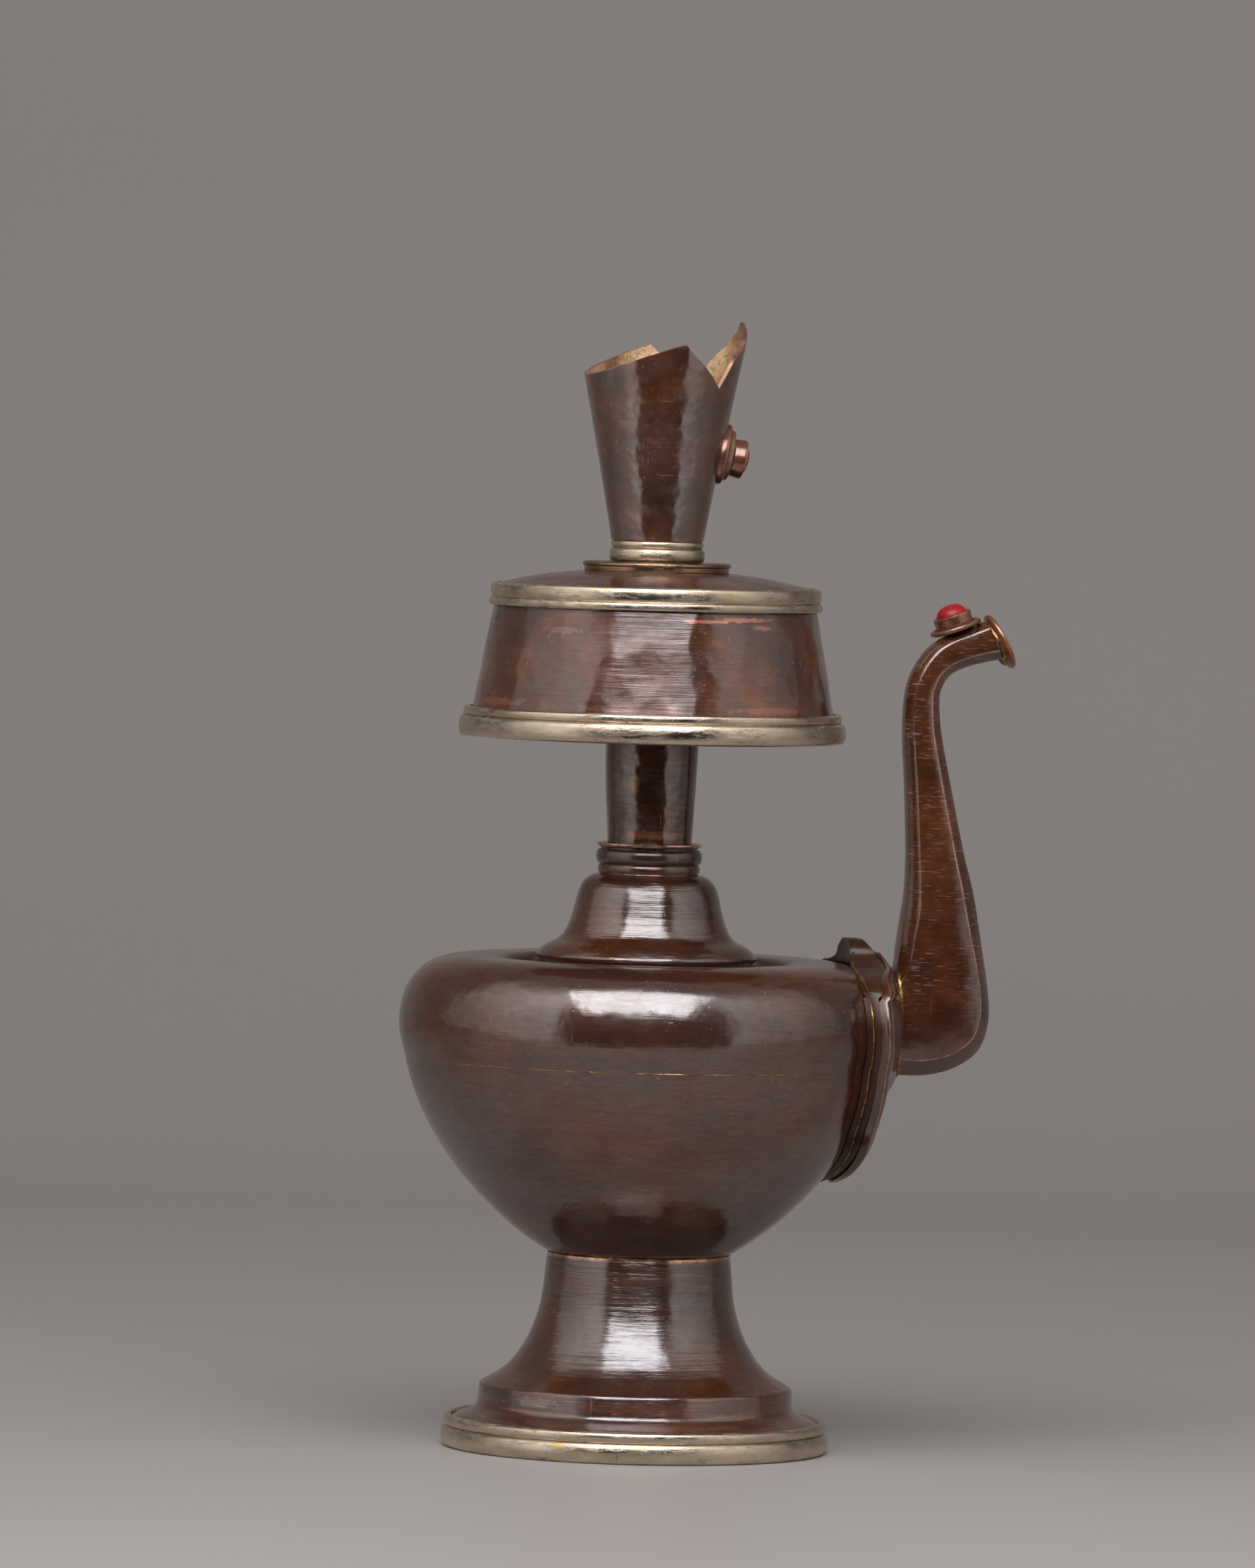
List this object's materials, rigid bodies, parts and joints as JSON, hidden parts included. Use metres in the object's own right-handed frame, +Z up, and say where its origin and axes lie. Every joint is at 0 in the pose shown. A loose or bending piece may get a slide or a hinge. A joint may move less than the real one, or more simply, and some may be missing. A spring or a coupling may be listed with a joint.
{
  "type": "bumpa ritual water vase",
  "caption": "Copper ritual vase: flat-topped body on a spread foot, canopy on its neck, leaf-rimmed filling cup on top and a tall faceted spout from a leaf shield.",
  "frame": {"origin": "middle of the bounding box seen from above, on the surface that the vase stands on", "axes": "+Z up along the neck, +X from the neck towards the spout, +Y to the back of the pictured view"},
  "size_m": [0.1146, 0.0914, 0.21],
  "materials": {
    "copper": "polished copper under a dark brown patina",
    "hammered_copper": "hammered copper, brown and purple patina, satin",
    "white_metal": "warm silver-coloured metal, lightly tarnished, satin",
    "coral_stone": "glossy, opaque"
  },
  "bodies": {
    "root": {"foot_rim": "white_metal", "foot": "copper", "bowl": "copper", "shoulder": "copper", "neck_seat_ring": "copper", "neck_bell": "copper", "neck_collar": "copper", "neck_tube": "copper", "canopy_lower_rim": "white_metal", "canopy_wall": "hammered_copper", "canopy_upper_rim": "white_metal", "canopy_top": "hammered_copper", "canopy_boss_ring": "white_metal", "cup_collar": "white_metal", "filling_cup": "hammered_copper", "cup_setting_plate": "copper", "cup_bezel": "copper", "cup_stone": "coral_stone", "spout_back_plate": "copper", "spout_band": "copper", "spout_shield": "copper", "spout": "copper", "spout_lip": "copper", "spout_setting_ring": "copper", "spout_bezel": "copper", "spout_stone": "coral_stone"}
  },
  "joints": []
}
